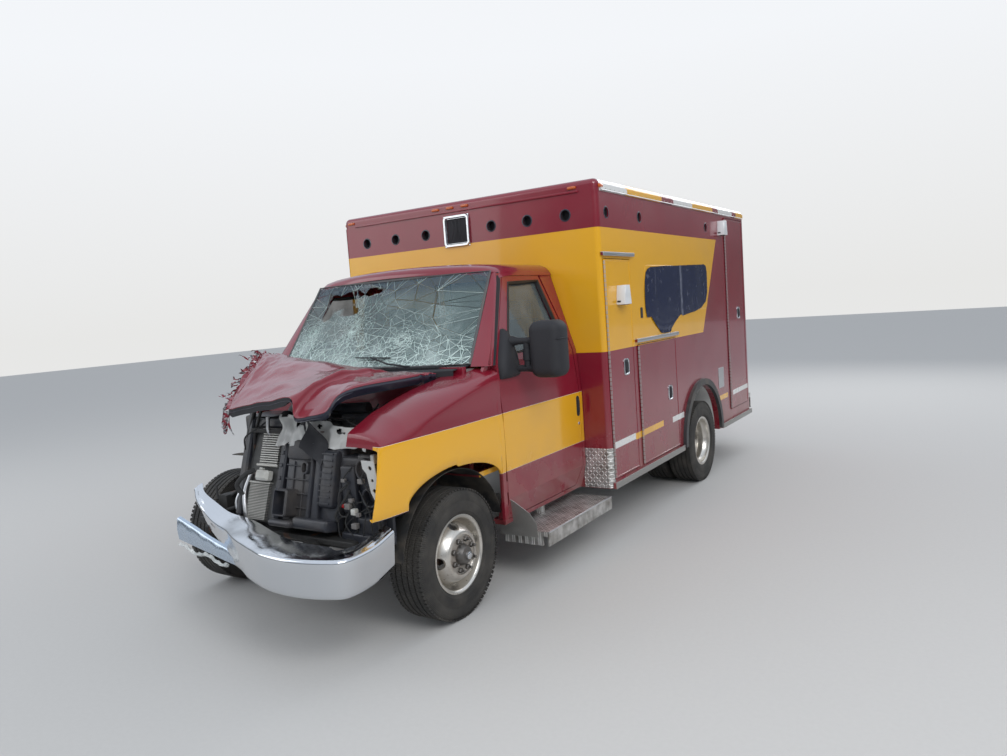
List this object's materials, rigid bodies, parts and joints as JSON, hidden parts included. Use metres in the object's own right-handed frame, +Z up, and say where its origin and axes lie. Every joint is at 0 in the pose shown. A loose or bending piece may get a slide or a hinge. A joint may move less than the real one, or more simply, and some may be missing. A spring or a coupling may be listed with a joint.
{
  "type": "ambulance",
  "caption": "Box-module ambulance on a cutaway van chassis with dual rear wheels, hinged doors and a crushed front end.",
  "frame": {"origin": "middle of the vehicle on the ground", "axes": "+Z up, front faces -Y, driver's side towards +X"},
  "size_m": [2.608, 6.267, 2.587],
  "materials": {
    "chassis_paint": "worn black chassis paint with dust",
    "cast_metal": "dull cast metal with rust bloom",
    "bare_steel": "weathered bare steel",
    "red_paint": "glossy dark red body paint",
    "yellow_paint": "glossy golden yellow body paint",
    "white_paint": "white paint",
    "glass": "tinted safety glass",
    "black_plastic": "textured black plastic",
    "grey_plastic": "grained grey plastic",
    "seat_vinyl": "grey vinyl",
    "aluminium": "satin aluminium",
    "diamond_plate": "tread plate",
    "chrome": "polished chrome",
    "black_rubber": "black rubber",
    "tyre": "worn road tyre",
    "rim_steel": "worn polished steel with rust"
  },
  "bodies": {
    "chassis": {"frame_rails": "chassis_paint", "engine_block": "cast_metal", "front_axle": "chassis_paint", "rear_axle": "chassis_paint", "exhaust": "bare_steel", "fuel_tank": "bare_steel", "cab_body": "red_paint", "windshield": "glass", "cowl_panel": "black_plastic", "dashboard": "grey_plastic", "seats": "seat_vinyl", "hood": "red_paint", "cooling_pack": "aluminium", "front_structure": "black_plastic", "bumper_front": "chrome", "running_boards": "diamond_plate", "module_floor": "white_paint", "compartments": "aluminium", "wall_front": "yellow_paint", "side_walls": "red_paint", "fenders": "red_paint", "wall_rear": "red_paint", "roof": "white_paint", "side_window": "glass", "wheel_flares": "black_rubber", "side_rails": "aluminium", "lamp_housings": "chrome", "cabinets": "white_paint", "rear_step": "diamond_plate"},
    "knuckle_left": {"knuckle_left": "cast_metal"},
    "knuckle_right": {"knuckle_right": "cast_metal"},
    "tie_rod": {"tie_rod": "bare_steel"},
    "steering_wheel": {"steering_wheel": "black_plastic"},
    "wheel_front_left": {"tyre_front_left": "tyre", "rim_front_left": "rim_steel"},
    "wheel_front_right": {"tyre_front_right": "tyre", "rim_front_right": "rim_steel"},
    "wheel_rear_left": {"tyres_rear_left": "tyre", "rims_rear_left": "rim_steel"},
    "wheel_rear_right": {"tyres_rear_right": "tyre", "rims_rear_right": "rim_steel"},
    "cab_door_left": {"cab_door_left": "red_paint", "cab_glass_left": "glass", "mirror_left": "black_plastic"},
    "cab_door_right": {"cab_door_right": "red_paint", "cab_glass_right": "glass"},
    "door_left_front": {"door_left_front": "red_paint"},
    "door_left_middle": {"door_left_middle": "red_paint"},
    "door_left_rear": {"door_left_rear": "red_paint"},
    "door_right_front": {"door_right_front": "red_paint"},
    "door_right_rear": {"door_right_rear": "red_paint"},
    "entry_door": {"entry_door": "red_paint", "entry_glass": "glass"},
    "rear_door_left": {"rear_door_left": "red_paint", "rear_glass_left": "glass"},
    "rear_door_right": {"rear_door_right": "red_paint", "rear_glass_right": "glass"}
  },
  "joints": [
    {"name": "steer_left", "type": "hinge", "parent": "chassis", "child": "knuckle_left", "pos_m": [0.735, -2.2685, 0.3675], "axis": [0, 0, 1], "range_deg": [-32, 32]},
    {"name": "steer_right", "type": "hinge", "parent": "chassis", "child": "knuckle_right", "pos_m": [-0.735, -2.2685, 0.3675], "axis": [0, 0, 1], "range_deg": [-32, 32]},
    {"name": "tie_rod_pivot", "type": "hinge", "parent": "knuckle_left", "child": "tie_rod", "pos_m": [0.735, -2.1285, 0.29], "axis": [0, 0, 1], "range_deg": [-32, 32]},
    {"name": "steering_column", "type": "hinge", "parent": "chassis", "child": "steering_wheel", "pos_m": [0.54, -1.5285, 1.25], "axis": [0, 0.7071, 0.7071], "range_deg": [-480, 480]},
    {"name": "spin_front_left", "type": "hinge", "parent": "knuckle_left", "child": "wheel_front_left", "pos_m": [0.882, -2.2685, 0.372], "axis": [1, 0, 0], "continuous": true},
    {"name": "spin_front_right", "type": "hinge", "parent": "knuckle_right", "child": "wheel_front_right", "pos_m": [-0.882, -2.2685, 0.372], "axis": [1, 0, 0], "continuous": true},
    {"name": "spin_rear_left", "type": "hinge", "parent": "chassis", "child": "wheel_rear_left", "pos_m": [0.987, 1.2365, 0.372], "axis": [1, 0, 0], "continuous": true},
    {"name": "spin_rear_right", "type": "hinge", "parent": "chassis", "child": "wheel_rear_right", "pos_m": [-0.987, 1.2365, 0.372], "axis": [1, 0, 0], "continuous": true},
    {"name": "cab_door_left_hinge", "type": "hinge", "parent": "chassis", "child": "cab_door_left", "pos_m": [0.998, -1.7717, 0.9], "axis": [0, 0, -1], "range_deg": [0, 68]},
    {"name": "cab_door_right_hinge", "type": "hinge", "parent": "chassis", "child": "cab_door_right", "pos_m": [-0.998, -1.7717, 0.9], "axis": [0, 0, 1], "range_deg": [0, 68]},
    {"name": "door_left_front_hinge", "type": "hinge", "parent": "chassis", "child": "door_left_front", "pos_m": [1.2148, -0.6715, 1], "axis": [0, 0, -1], "range_deg": [0, 105]},
    {"name": "door_left_middle_hinge", "type": "hinge", "parent": "chassis", "child": "door_left_middle", "pos_m": [1.2148, -0.1425, 1], "axis": [0, 0, -1], "range_deg": [0, 105]},
    {"name": "door_left_rear_hinge", "type": "hinge", "parent": "chassis", "child": "door_left_rear", "pos_m": [1.2148, 2.1915, 1], "axis": [0, 0, -1], "range_deg": [0, 105]},
    {"name": "door_right_front_hinge", "type": "hinge", "parent": "chassis", "child": "door_right_front", "pos_m": [-1.2148, -0.6715, 1], "axis": [0, 0, 1], "range_deg": [0, 105]},
    {"name": "door_right_rear_hinge", "type": "hinge", "parent": "chassis", "child": "door_right_rear", "pos_m": [-1.2148, 2.1915, 1], "axis": [0, 0, 1], "range_deg": [0, 105]},
    {"name": "entry_door_hinge", "type": "hinge", "parent": "chassis", "child": "entry_door", "pos_m": [-1.2148, -0.1425, 1.2], "axis": [0, 0, 1], "range_deg": [0, 105]},
    {"name": "rear_door_left_hinge", "type": "hinge", "parent": "chassis", "child": "rear_door_left", "pos_m": [0.62, 2.9153, 1.6], "axis": [0, 0, -1], "range_deg": [0, 110]},
    {"name": "rear_door_right_hinge", "type": "hinge", "parent": "chassis", "child": "rear_door_right", "pos_m": [-0.62, 2.9153, 1.6], "axis": [0, 0, 1], "range_deg": [0, 110]}
  ],
  "couplings": [
    {"joint": "steer_right", "follows": "steer_left", "ratio": 1},
    {"joint": "tie_rod_pivot", "follows": "steer_left", "ratio": -1},
    {"joint": "steering_column", "follows": "steer_left", "ratio": 15}
  ]
}
